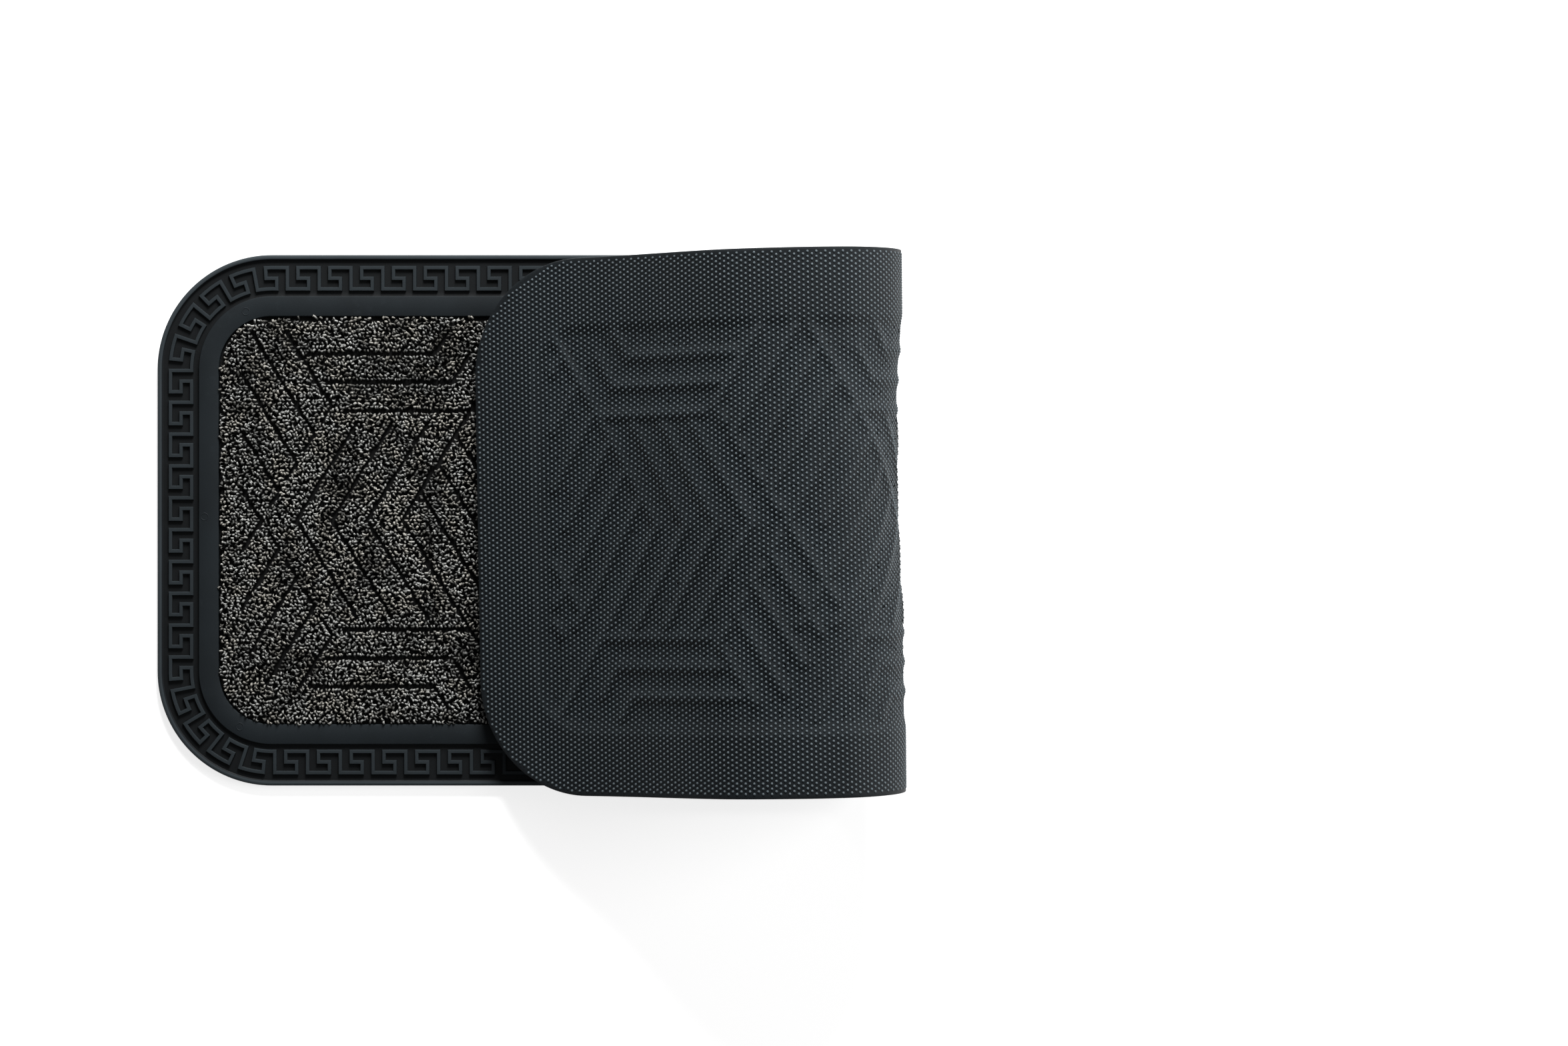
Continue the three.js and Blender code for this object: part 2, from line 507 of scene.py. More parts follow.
def cell_grooves():
    """The groove lines of one repeat, from its crossing point: pairs of (along, across) points."""
    lines = []

    def slanted(side, foot, lean, low, high):
        """A line on one side of the centre line, that leans on from its foot or back from it."""
        start = (foot + lean * low / GROOVE_RISE, side * low)
        end = (foot + lean * high / GROOVE_RISE, side * high)
        lines.append((start, end))

    def foot(number):
        """Where the line with this number meets the centre line."""
        return (number - 0.5) * CHEVRON_PITCH

    def crossing(number, behind):
        """How far out a line that leans back meets the forward one from some pitches behind the centre."""
        return (foot(number) + behind * CHEVRON_PITCH) / 2 * GROOVE_RISE

    def leaning_back(side, number, high):
        """A line that leans back, with a hook where it starts away from the centre line."""
        low = crossing(number, NEAR_LINE)
        slanted(side, foot(number), -1, max(low, 0), high)
        if low > 0:
            slanted(side, foot(0), 1, low - HOOK, low)

    for number in range(1, LONG_LINE):
        slanted(1, foot(number), 1, 0, ARM_REACH)
    slanted(1, foot(LONG_LINE), 1, 0, PATTERN_REACH)
    for number in range(1, CHEVRON_LINES + 1):
        slanted(-1, foot(number), 1, 0, PATTERN_REACH if number == LONG_LINE else ARM_REACH)
    for number in UPPER_BACK_LINES:
        leaning_back(1, number, min(crossing(number, UPPER_FAR_LINE), PATTERN_REACH))
    for number in LOWER_BACK_LINES:
        leaning_back(-1, number, min(crossing(number, LOWER_FAR_LINE), PATTERN_REACH - HOOK))
    first_bar = (foot(CHEVRON_LINES) - BAR_SHIFT - foot(LONG_LINE)) * GROOVE_RISE
    for count in range(BARS):
        across = first_bar + count * BAR_GAP
        left = foot(LONG_LINE) - across / GROOVE_RISE + BAR_CLEARANCE
        right = foot(LONG_LINE) + first_bar / GROOVE_RISE - count * CHEVRON_PITCH / 2
        for side in (1, -1):
            lines.append(((left, side * across), (right, side * across)))
            turn = across + BAR_GAP
            lines.append(((right, side * across), (right + BAR_GAP / GROOVE_RISE, side * turn)))
    return lines


def clipped(start, end):
    """The part of a line that lies within the carpet's patterned area, or None."""
    start, end = np.array(start), np.array(end)
    low = np.array([PATTERN_END, -PATTERN_REACH])
    high = np.array([MAT_LENGTH - PATTERN_END, PATTERN_REACH])
    step = end - start
    first, last = 0.0, 1.0
    for axis in range(2):
        if abs(step[axis]) < TINY:
            if not low[axis] <= start[axis] <= high[axis]:
                return None
            continue
        limits = sorted(((low[axis] - start[axis]) / step[axis], (high[axis] - start[axis]) / step[axis]))
        first, last = max(first, limits[0]), min(last, limits[1])
    if last - first < SHORTEST_SHARE:
        return None
    return start + first * step, start + last * step


def all_grooves():
    """Every cell's lines, cut off at the edge of the pattern."""
    lines = []
    for cell in range(CELLS):
        centre = FIRST_CELL + cell * CELL_PITCH
        for (x0, y0), (x1, y1) in cell_grooves():
            line = clipped((centre + x0, y0), (centre + x1, y1))
            if line:
                lines.append(line)
    return lines


GROOVES = all_grooves()


def from_groove(plan):
    """The step from the nearest groove's centre line to each point of the flat mat."""
    # To begin with, every point is a metre each way from a groove, which is further than any can be.
    steps = np.full(plan.shape, 1.0)
    for start, end in GROOVES:
        line = end - start
        share = np.clip((plan - start) @ line / (line @ line), 0, 1)
        step = plan - start - share[:, None] * line
        closer = np.linalg.norm(step, axis=1) < np.linalg.norm(steps, axis=1)
        steps[closer] = step[closer]
    return steps


def groove_distance(plan):
    """How far each point of the flat mat is from the nearest groove."""
    return np.linalg.norm(from_groove(plan), axis=1)


def edge_inset(plan):
    """How far each point of the flat mat is in from the mat's edge."""
    x = np.abs(plan[:, 0] - MAT_LENGTH / 2) - (MAT_LENGTH / 2 - CORNER_RADIUS)
    y = np.abs(plan[:, 1]) - INNER_SIDE
    outside = np.hypot(np.maximum(x, 0), np.maximum(y, 0))
    return CORNER_RADIUS - outside - np.minimum(np.maximum(x, y), 0)


def underside_height(plan):
    """The sheet's underside, which stands out along the grooves pressed from above."""
    ridge = np.exp(-((groove_distance(plan) / RIDGE_HALF) ** 2))
    inside = soft_step((edge_inset(plan) - BORDER_WIDTH) / RIDGE_FADE)
    return DOT_HEIGHT + RIDGE_DROP * inside * (1 - ridge)


# ---- finished pieces ----
# What counts as a ridge below, the ribbon's top and the rim's top, and how much paler each is painted, for
# wear and partly as a painted highlight.
RIDGE_LEVEL = 1.2 * MM
RIBBON_LEVEL = 5.4 * MM
RIBBON_START = 6 * MM
RIBBON_END = CHANNEL_END - MM
RIM_TOP_END = RIM_WIDTH - 0.3 * MM
RIM_WEAR_AND_HIGHLIGHT = 0.2
RIBBON_WEAR_AND_HIGHLIGHT = 0.09
RIDGE_WEAR_AND_HIGHLIGHT = 0.07


def points_of(mesh):
    """The mesh's points, as rows of x, y and z."""
    points = np.empty(len(mesh.vertices) * 3, np.float32)
    mesh.vertices.foreach_get("co", points)
    return points.reshape(-1, 3)


def corners_of(mesh):
    """The index of the point at each corner of each face."""
    corners = np.empty(len(mesh.loops), np.int32)
    mesh.loops.foreach_get("vertex_index", corners)
    return corners


def note_values(mesh, name, values):
    """Notes a number or a vector for each point, for a finish or a tree to read."""
    kind, key = ("FLOAT_VECTOR", "vector") if values.ndim == 2 else ("FLOAT", "value")
    note = mesh.attributes.get(name) or mesh.attributes.new(name, kind, "POINT")
    note.data.foreach_set(key, values.ravel().astype(np.float32))


def smooth_by_angle(mesh, degrees):
    """Keeps an edge sharp where its faces turn by more than this."""
    mesh.set_sharp_from_angle(angle=math.radians(degrees))


def fold_up(mesh):
    """Notes each point's place on the flat mat for the finishes, then carries it to the folded mat."""
    flat = points_of(mesh)
    note_values(mesh, FLAT, flat)
    folded = FOLD.place(flat.astype(float))
    mesh.vertices.foreach_set("co", folded.ravel().astype(np.float32))
    mesh.update()


def note_wear_and_highlight(mesh):
    """Marks what stands proud, to be painted paler for wear and partly as a painted highlight: the rim, and
    less so the ribbon's top and the ridges below.
    """
    x, y, height = points_of(mesh).T
    inset = edge_inset(np.column_stack([x, y]))
    ridge = (height < RIDGE_LEVEL) & (inset > BORDER_WIDTH)
    rim = (inset < RIM_TOP_END) & (height > RIDGE_LEVEL)
    ribbon = (inset > RIBBON_START) & (inset < RIBBON_END) & (height > RIBBON_LEVEL)
    note_values(mesh, WEAR_AND_HIGHLIGHT, np.select([ridge, rim, ribbon], [RIDGE_WEAR_AND_HIGHLIGHT, RIM_WEAR_AND_HIGHLIGHT, RIBBON_WEAR_AND_HIGHLIGHT], 0.0))


def add_object(name, mesh, material):
    """Puts a mesh in the scene, all in one material."""
    piece = bpy.data.objects.new(name, mesh)
    bpy.context.scene.collection.objects.link(piece)
    mesh.materials.clear()
    mesh.materials.append(material)
    return piece


def join(pieces):
    """Makes one object of several, under the first one's name."""
    if len(pieces) > 1:
        first = pieces[0]
        chosen = {"selected_editable_objects": pieces, "selected_objects": pieces}
        with bpy.context.temp_override(active_object=first, object=first, **chosen):
            bpy.ops.object.join()
    return pieces[0]


def fasten(piece, stretch, slot):
    """Leaves a piece that crosses a hinge where it lies, or lets one ride on its one body, in place of that
    body's solid.
    """
    if len(stretch.bodies) == 2:
        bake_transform(piece)
    else:
        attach(piece, stretch.bodies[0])
    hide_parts(f"{stretch.bodies[-1]}_{slot}")


# ---- Geometry Nodes: one small shape on every point ----
SCATTER_TREE = "Shape on every point"
TREE_INPUTS = {
    "Points": "NodeSocketGeometry",
    "Shape": "NodeSocketObject",
    "Size": "NodeSocketVector",
    "Size variation": "NodeSocketFloat",
    "Seed": "NodeSocketInt",
    "Finish": "NodeSocketMaterial",
}


def scatter_tree():
    """Puts a shape on every point, turned and sized by the points' own values, as one plain mesh."""
    tree = bpy.data.node_groups.new(SCATTER_TREE, "GeometryNodeTree")
    for name, kind in TREE_INPUTS.items():
        tree.interface.new_socket(name, in_out="INPUT", socket_type=kind)
    tree.interface.new_socket("Mesh", in_out="OUTPUT", socket_type="NodeSocketGeometry")

    def node(kind, **settings):
        made = tree.nodes.new(kind)
        for name, value in settings.items():
            setattr(made, name, value)
        return made

    def own_value(name, kind):
        value = node("GeometryNodeInputNamedAttribute", data_type=kind)
        value.inputs["Name"].default_value = name
        return value.outputs["Attribute"]

    entry = node("NodeGroupInput")
    leave = node("NodeGroupOutput")
    shape = node("GeometryNodeObjectInfo")
    put = node("GeometryNodeInstanceOnPoints")
    turn = node("FunctionNodeEulerToRotation")
    vary = node("FunctionNodeRandomValue", data_type="FLOAT")
    less = node("ShaderNodeMath", operation="SUBTRACT")
    more = node("ShaderNodeMath", operation="ADD")
    size = node("ShaderNodeVectorMath", operation="MULTIPLY")
    varied = node("ShaderNodeVectorMath", operation="SCALE")
    realize = node("GeometryNodeRealizeInstances")
    finish = node("GeometryNodeSetMaterial")
    less.inputs[0].default_value = 1
    more.inputs[0].default_value = 1
    # The random node has its ends once for each kind of value. These are the plain numbers'.
    numbers = [socket for socket in vary.inputs if socket.type == "VALUE"]
    random_ends = [socket for socket in numbers if socket.name in ("Min", "Max")]
    links = [
        (entry.outputs["Shape"], shape.inputs["Object"]),
        (entry.outputs["Points"], put.inputs["Points"]),
        (shape.outputs["Geometry"], put.inputs["Instance"]),
        (own_value(TURN, "FLOAT_VECTOR"), turn.inputs["Euler"]),
        (turn.outputs["Rotation"], put.inputs["Rotation"]),
        (entry.outputs["Size variation"], less.inputs[1]),
        (entry.outputs["Size variation"], more.inputs[1]),
        (less.outputs[0], random_ends[0]),
        (more.outputs[0], random_ends[1]),
        (entry.outputs["Seed"], vary.inputs["Seed"]),
        (own_value(GROWTH, "FLOAT_VECTOR"), size.inputs[0]),
        (entry.outputs["Size"], size.inputs[1]),
        (size.outputs[0], varied.inputs[0]),
        (vary.outputs[1], varied.inputs["Scale"]),
        (varied.outputs[0], put.inputs["Scale"]),
        (put.outputs["Instances"], realize.inputs["Geometry"]),
        (realize.outputs["Geometry"], finish.inputs["Geometry"]),
        (entry.outputs["Finish"], finish.inputs["Material"]),
        (finish.outputs["Geometry"], leave.inputs["Mesh"]),
    ]
    for start, end in links:
        tree.links.new(start, end)
    return tree


def scatter(name, points, values, inputs):
    """Runs the scatter tree over some points and hands back the plain mesh it makes."""
    cloud = bpy.data.meshes.new(name + "_points")
    cloud.from_pydata(points.tolist(), [], [])
    for key, column in values.items():
        note_values(cloud, key, column)
    holder = bpy.data.objects.new(name, cloud)
    bpy.context.scene.collection.objects.link(holder)
    tree = bpy.data.node_groups.get(SCATTER_TREE) or scatter_tree()
    modifier = holder.modifiers.new("Scatter", "NODES")
    modifier.node_group = tree
    sockets = {item.name: item.identifier for item in tree.interface.items_tree if item.in_out == "INPUT"}
    for key, value in inputs.items():
        modifier[sockets[key]] = value
    holder.update_tag()
    depsgraph = bpy.context.evaluated_depsgraph_get()
    mesh = bpy.data.meshes.new_from_object(holder.evaluated_get(depsgraph), depsgraph=depsgraph)
    bpy.data.objects.remove(holder)
    bpy.data.meshes.remove(cloud)
    for key in (TURN, GROWTH):
        if key in mesh.attributes:
            mesh.attributes.remove(mesh.attributes[key])
    return mesh


def shape_object(name, points, faces, chart):
    """A hidden shape to scatter, with its own layout: a place for each corner of each face in turn."""
    mesh = bpy.data.meshes.new(name)
    mesh.from_pydata([tuple(point) for point in points], [], faces)
    layer = mesh.uv_layers.new(name=UV_MAP)
    layer.uv.foreach_set("vector", np.array(chart, np.float32).ravel())
    mesh.shade_smooth()
    return bpy.data.objects.new(name, mesh)


def remove_shape(shape):
    mesh = shape.data
    bpy.data.objects.remove(shape)
    bpy.data.meshes.remove(mesh)


# ---- the rubber tray ----
def tray_profile():
    """The tray's cross-section, from the middle of the underside round the rim to under the carpet."""
    underside_end = 3 * MM
    steps = int((CORNER_RADIUS - underside_end) / STEP)
    below = [(inset, DOT_HEIGHT) for inset in np.linspace(CORNER_RADIUS, underside_end, steps + 1)]
    outermost = (0, 3.2)
    edge = [(1.0, 0.6), (0.2, 0.9), (0, 1.6), outermost, (0, 4.8), (0.25, 5.6), (0.9, 6.0)]
    rim = [(3.1, 6.0), (3.75, 5.75), (4.0, 5.3), (4.2, 4.1), (4.6, 3.8)]
    channel = [(8, 3.8), (20, 3.8), (31, 3.8), (34.4, 3.8), (34.9, 4.0), (35.1, 5.4)]
    band = [(35.35, 5.85), (36, 6.0), (43.5, 6.0), (51, 6.0), (51.7, 5.8), (52.0, 5.3)]
    recess = [(52.1, 2.6), (53, 2.4)]
    border = [(inset * MM, height * MM) for inset, height in edge + rim + channel + band + recess]
    sheet = [(MIDDLE_RING, SHEET_TOP), (CORNER_RADIUS, SHEET_TOP)]
    return below + border + sheet, len(below) + edge.index(outermost)


# ---- the key ribbon in the border's channel ----
# One unit of the key, as steps of a grid three wide and two deep. The units' pitch is set on the
# sides, and the four corners share the rest of them.
KEY_PATH = ((0, 0), (2, 0), (2, 1), (1, 1), (1, 2), (3, 2), (3, 0))
KEY_GRID = 9 * MM
KEY_OUTER = 10.9 * MM
KEY_START = 0.07
KEY_UNITS = 103
KEY_PITCH = 27 * MM
BOTTOM_PITCH = 27.8 * MM
LONG_SIDE = INNER_END - CORNER_RADIUS
SHORT_SIDE = 2 * INNER_SIDE
TOP_UNITS = LONG_SIDE / KEY_PITCH
BOTTOM_UNITS = LONG_SIDE / BOTTOM_PITCH
SIDE_UNITS = SHORT_SIDE / KEY_PITCH
CORNER_UNITS = (KEY_UNITS - TOP_UNITS - BOTTOM_UNITS - 2 * SIDE_UNITS) / 4
SHARPEST_MITRE = 0.6
# The ribbon's cross-section: distance from its middle line, and height, in millimetres.
RIBBON = ((-1.75, 3.3), (-1.6, 5.0), (-1.25, 5.65), (0, 5.75), (1.25, 5.65), (1.6, 5.0), (1.75, 3.3))


def border_track():
    """The sides and corners in the order that the ribbon passes them, each with its length in units."""
    right, left, top, bottom = INNER_END, CORNER_RADIUS, INNER_SIDE, -INNER_SIDE
    return [
        (TOP_UNITS, (right, top), (-1, 0), LONG_SIDE, 90),
        (CORNER_UNITS, (left, top), None, 0, 90),
        (SIDE_UNITS, (left, top), (0, -1), SHORT_SIDE, 180),
        (CORNER_UNITS, (left, bottom), None, 0, 180),
        (BOTTOM_UNITS, (left, bottom), (1, 0), LONG_SIDE, 270),
        (CORNER_UNITS, (right, bottom), None, 0, 270),
        (SIDE_UNITS, (right, bottom), (0, 1), SHORT_SIDE, 0),
        (CORNER_UNITS, (right, top), None, 0, 0),
    ]


BORDER_TRACK = border_track()


def on_border(travel, inset):
    """The plan point at a travel in units round the border, and a distance in from the edge."""
    travel = travel % KEY_UNITS
    for units, start, along, length, angle in BORDER_TRACK:
        if travel <= units:
            break
        travel -= units
    share = travel / units
    if along is None:
        angle += 90 * share
        foot = np.array(start)
    else:
        foot = np.array(start) + np.array(along) * length * share
    return foot + direction(math.radians(angle)) * (CORNER_RADIUS - inset)


def ribbon_line():
    """The ribbon's middle line, in short steps, closed on itself."""
    width = KEY_PATH[-1][0]
    line = []
    for unit in range(KEY_UNITS):
        for (a0, b0), (a1, b1) in zip(KEY_PATH, KEY_PATH[1:]):
            steps = 2 * int(abs(a1 - a0) + abs(b1 - b0))
            for i in range(steps):
                a = a0 + (a1 - a0) * i / steps
                b = b0 + (b1 - b0) * i / steps
                line.append(on_border(KEY_START + unit + a / width, KEY_OUTER + b * KEY_GRID))
    return np.array(line)


def ribbon_parts():
    """The raised ribbon as loops of points across it, one for each point of its middle line."""
    line = ribbon_line()
    ahead = np.roll(line, -1, axis=0) - line
    ahead /= np.linalg.norm(ahead, axis=1)[:, None]
    behind = np.roll(ahead, 1, axis=0)
    mitre = ahead + behind
    mitre /= np.linalg.norm(mitre, axis=1)[:, None]
    widen = 1 / np.maximum((mitre * ahead).sum(axis=1), SHARPEST_MITRE)
    sideways = np.column_stack([-mitre[:, 1], mitre[:, 0]]) * widen[:, None]
    profile = np.array(RIBBON) * MM
    plan = line[:, None, :] + sideways[:, None, :] * profile[None, :, :1]
    height = np.broadcast_to(profile[None, :, 1:], plan.shape[:2] + (1,))
    return line, np.concatenate([plan, height], axis=2)


def ribbon_mesh(name, stretch, line, loops):
    """The lengths of the ribbon that lie on one stretch, or None."""
    count = len(line)
    across = loops.shape[1]
    middle = (line + np.roll(line, -1, axis=0))[:, 0] / 2
    starts = np.nonzero(on_stretch(middle, stretch))[0]
    if not len(starts):
        return None
    side = np.arange(across)
    side_next = (side + 1) % across
    near = starts[:, None] * across
    far = ((starts + 1) % count)[:, None] * across
    quads = np.stack([near + side, near + side_next, far + side_next, far + side], axis=2).reshape(-1, 4)
    points = loops.reshape(-1, 3)
    plan = points[quads.ravel(), :2]
    return closed_mesh(name, points, quads, plan, np.ones(len(plan), bool), stretch)


# ---- the dots of the underside ----
# Their spacing along and across, how far in from the edge they start, and how deep each is set.
DOT_ALONG = 3.68 * MM
DOT_ACROSS = 4.25 * MM
DOT_EDGE = 2.6 * MM
DOT_SINK = 0.05 * MM
DOT_VARIATION = 0.04
DOT_SEED = 3


def dot_points():
    """A staggered lattice of dots over the whole underside."""
    columns = int(MAT_LENGTH / DOT_ALONG) + 2
    rows = int(2 * HALF_WIDTH / DOT_ACROSS) + 2
    column, row = np.meshgrid(np.arange(columns), np.arange(rows), indexing="ij")
    x = column * DOT_ALONG
    y = -HALF_WIDTH + (row + (column % 2) / 2) * DOT_ACROSS
    plan = np.column_stack([x.ravel(), y.ravel()])
    plan = plan[edge_inset(plan) > DOT_EDGE]
    return np.column_stack([plan, underside_height(plan) + DOT_SINK])


def dot_shape():
    """A low dome that hangs down, one unit wide and one unit high, painted palest at its tip, for wear and
    partly as a painted highlight.
    """
    sides = 6
    points = []
    for radius, drop in ((1.0, 0.0), (0.72, 0.72)):
        for i in range(sides):
            angle = i / sides * 2 * math.pi
            points.append((radius * math.cos(angle), radius * math.sin(angle), -drop))
    points.append((0, 0, -1))
    faces = []
    for i in range(sides):
        ahead = (i + 1) % sides
        faces.append((ahead, i, sides + i, sides + ahead))
        faces.append((sides + ahead, sides + i, 2 * sides))
    chart = [points[corner][:2] for face in faces for corner in face]
    shape = shape_object("grip_dot", points, faces, chart)
    # The tip is marked to be painted paler: wear, and partly a painted highlight.
    note_values(shape.data, WEAR_AND_HIGHLIGHT, np.array([-point[2] for point in points]))
    return shape


def chart_from_plan(mesh, on_top, stretch):
    """Lays a mesh's faces out as they lie on the flat mat."""
    plan = points_of(mesh)[corners_of(mesh), :2].astype(float)
    if UV_MAP in mesh.uv_layers:
        mesh.uv_layers.remove(mesh.uv_layers[UV_MAP])
    set_chart(mesh, plan, np.full(len(plan), on_top), stretch)


def split_evenly(mask, most):
    """The indices that a mask keeps, in as few even runs as hold no more than most."""
    index = np.nonzero(mask)[0]
    return np.array_split(index, max(math.ceil(len(index) / most), 1))


# ---- marks left by the mould's pins, on the flat band ----
# Each mark's distance from the mat's end and from its centre line, in millimetres.
PIN_MARKS = ((75, 177), (40, 3), (70, -175))
# A mark's cross-section: distance from its middle, and rise above the band, in millimetres.
PIN_PROFILE = ((2.5, -0.1), (2.8, 0.16), (3.2, 0.16), (3.5, -0.1))
PIN_SIDES = 20


def pin_mark_mesh(stretch):
    """Shallow rings on the flat band near one end of the mat."""
    points = []
    faces = []
    count = len(PIN_PROFILE)
    far_end = stretch is STRETCHES[-1]
    for x, y in PIN_MARKS:
        centre_x = MAT_LENGTH - x * MM if far_end else x * MM
        first = len(points)
        for i in range(PIN_SIDES):
            angle = i / PIN_SIDES * 2 * math.pi
            for radius, rise in PIN_PROFILE:
                step_x = radius * MM * math.cos(angle)
                step_y = radius * MM * math.sin(angle)
                points.append((centre_x + step_x, y * MM + step_y, BORDER_TOP + rise * MM))
        for i in range(PIN_SIDES):
            near = first + i * count
            far = first + (i + 1) % PIN_SIDES * count
            for j in range(count):
                ahead = (j + 1) % count
                faces.append((near + j, far + j, far + ahead, near + ahead))
    mesh = bpy.data.meshes.new("pin_marks")
    mesh.from_pydata(points, [], faces)
    close_ends(mesh)
    chart_from_plan(mesh, True, stretch)
    return mesh


# ---- the carpet ----
# Loops stand on a loose grid, and those beside a groove are pushed out to its half width.
BACKING_CLEARANCE = 0.05 * MM
BACKING_EDGE = 0.4 * MM
LOOP_PITCH = 3.0 * MM
LOOP_SCATTER = 0.45 * MM
LOOP_MARGIN = 1.3 * MM
LOOP_SINK = 0.3 * MM
LOOP_LEAN = 0.26
LOOP_VARIATION = 0.08
GROOVE_HALF = 2.2 * MM
GROOVE_BARE = 0.45
GROOVE_BANK = 3 * MM
BROAD_CLOUD = 26 * MM
FINE_CLOUD = 11 * MM
FLECK_SHARE = 0.035
CELL_MARGIN = 0.07


def backing_profile():
    """The weave's cross-section, from the middle of its underside round its edge to the middle on top."""
    low = BACKING_LOW.z + BACKING_CLEARANCE
    high = BACKING_HIGH.z - BACKING_CLEARANCE
    insets = (CORNER_RADIUS, MIDDLE_RING, CARPET_INSET + BACKING_EDGE)
    below = [(inset, low) for inset in insets]
    edge = [(CARPET_INSET, (low + high) / 2)]
    above = [(inset, high) for inset in reversed(insets)]
    return below + edge + above, len(below)


def cloud_noise(plan, size, seed):
    """Smooth uneven values from 0 to 1, in patches of about the given size."""
    spare = 4
    cells = (int(MAT_LENGTH / size) + spare, int(2 * HALF_WIDTH / size) + spare)
    grid = np.random.default_rng(seed).random(cells)
    at = np.column_stack([plan[:, 0], plan[:, 1] + HALF_WIDTH]) / size
    low = np.floor(at).astype(int)
    x, y = soft_step(at - low).T
    i, j = low.T
    near = grid[i, j] * (1 - x) + grid[i + 1, j] * x
    far = grid[i, j + 1] * (1 - x) + grid[i + 1, j + 1] * x
    return near * (1 - y) + far * y


def loop_places(random):
    """Where each loop stands on the flat mat, clear of the grooves, and how far it is from the nearest."""
    columns = int(MAT_LENGTH / LOOP_PITCH)
    rows = int(2 * HALF_WIDTH / LOOP_PITCH)
    column, row = np.meshgrid(np.arange(columns), np.arange(rows), indexing="ij")
    x = (column + (row % 2) / 2) * LOOP_PITCH
    y = -HALF_WIDTH + row * LOOP_PITCH
    plan = np.column_stack([x.ravel(), y.ravel()])
    plan = plan + random.normal(0, LOOP_SCATTER, plan.shape)
    plan = plan[edge_inset(plan) > CARPET_INSET + LOOP_MARGIN]
    away = from_groove(plan)
    distance = np.linalg.norm(away, axis=1)
    kept = distance > GROOVE_HALF * GROOVE_BARE
    plan, away, distance = plan[kept], away[kept], distance[kept]
    pushed = np.maximum(GROOVE_HALF * random.uniform(1.0, 1.12, len(plan)) - distance, 0)
    return plan + away * (pushed / distance)[:, None], distance + pushed


def loop_shades(random, plan, seed):
    """A shade from dark to pale for each loop: its own, with cloudy patches and a few pale flecks."""
    count = len(plan)
    broad = cloud_noise(plan, BROAD_CLOUD, seed + 1)
    fine = cloud_noise(plan, FINE_CLOUD, seed + 2)
    clouds = 0.55 * broad + 0.45 * fine
    own = random.random(count)
    shade = 0.3 + 0.72 * own**1.8 + 1.0 * (clouds - 0.42) * (0.4 + own)
    fleck = random.random(count) > 1 - FLECK_SHARE
    shade = np.where(fleck, random.uniform(0.8, 1.0, count), shade)
    return np.clip(shade, 0, 1)


def loop_points(seed):
    """A point for every loop of the pile, with its turn, growth and shade."""
    random = np.random.default_rng(seed)
    plan, distance = loop_places(random)
    count = len(plan)
    near = soft_step((distance - GROOVE_HALF) / GROOVE_BANK)
    height = (0.8 + 0.2 * near) * random.uniform(0.86, 1.06, count)
    width = random.uniform(0.8, 1.2, count)
    lean = random.normal(0, LOOP_LEAN, (count, 2)) * (0.4 + 0.6 * near[:, None])
    turn = np.column_stack([lean, random.uniform(0, math.pi, count)])
    growth = np.column_stack([width, random.uniform(0.8, 1.15, count), height])
    foot = np.full(count, BACKING_HIGH.z - LOOP_SINK)
    values = {TURN: turn, GROWTH: growth, SHADE: loop_shades(random, plan, seed)}
    return np.column_stack([plan, foot]), values


def loop_shape():
    """One loop of yarn: an arch of three-sided tube, one unit wide and one unit high."""
    rings, sides = 5, 3
    thick = 0.31
    points = []
    for ring in range(rings):
        angle = ring / (rings - 1) * math.pi
        middle = np.array([-0.5 * math.cos(angle), 0, math.sin(angle) ** 0.7 - thick * 0.5])
        out = np.array([-math.cos(angle), 0, math.sin(angle)])
        for side in range(sides):
            around = math.radians(30 + 120 * side)
            offset = out * math.sin(around) * 0.5 + np.array([0, 1, 0]) * math.cos(around)
            points.append(middle + offset * thick)
    faces = []
    chart = []
    for ring in range(rings - 1):
        for side in range(sides):
            near = ring * sides
            far = near + sides
            ahead = (side + 1) % sides
            faces.append((near + side, near + ahead, far + ahead, far + side))
            corners = ((ring, side), (ring, side + 1), (ring + 1, side + 1), (ring + 1, side))
            chart.extend((along / (rings - 1), level / sides) for along, level in corners)
    return shape_object("yarn_loop", points, faces, chart)


def spread_charts(mesh, cells_across):
    """Moves each loop's own layout into its own cell of the unit square."""
    cell = np.empty(len(mesh.vertices) * 3, np.float32)
    mesh.attributes[CELL].data.foreach_get("vector", cell)
    layer = mesh.uv_layers[UV_MAP]
    chart = np.empty(len(mesh.loops) * 2, np.float32)
    layer.uv.foreach_get("vector", chart)
    own = chart.reshape(-1, 2) * (1 - 2 * CELL_MARGIN) + CELL_MARGIN
    chart = (cell.reshape(-1, 3)[corners_of(mesh), :2] + own) / cells_across
    layer.uv.foreach_set("vector", chart.ravel().astype(np.float32))
    mesh.attributes.remove(mesh.attributes[CELL])


# ---- finishes ----
class Value:
    """A shader socket that Python's own signs work on."""

    def __init__(self, shader, socket):
        self.shader = shader
        self.socket = socket

    def maths(self, operation, first, second):
        node = self.shader.node("ShaderNodeMath", {"operation": operation}, {0: first, 1: second})
        return Value(self.shader, node.outputs[0])

    def __add__(self, other):
        return self.maths("ADD", self, other)

    def __radd__(self, other):
        return self.maths("ADD", other, self)

    def __sub__(self, other):
        return self.maths("SUBTRACT", self, other)

    def __rsub__(self, other):
        return self.maths("SUBTRACT", other, self)

    def __mul__(self, other):
        return self.maths("MULTIPLY", self, other)

    def __rmul__(self, other):
        return self.maths("MULTIPLY", other, self)


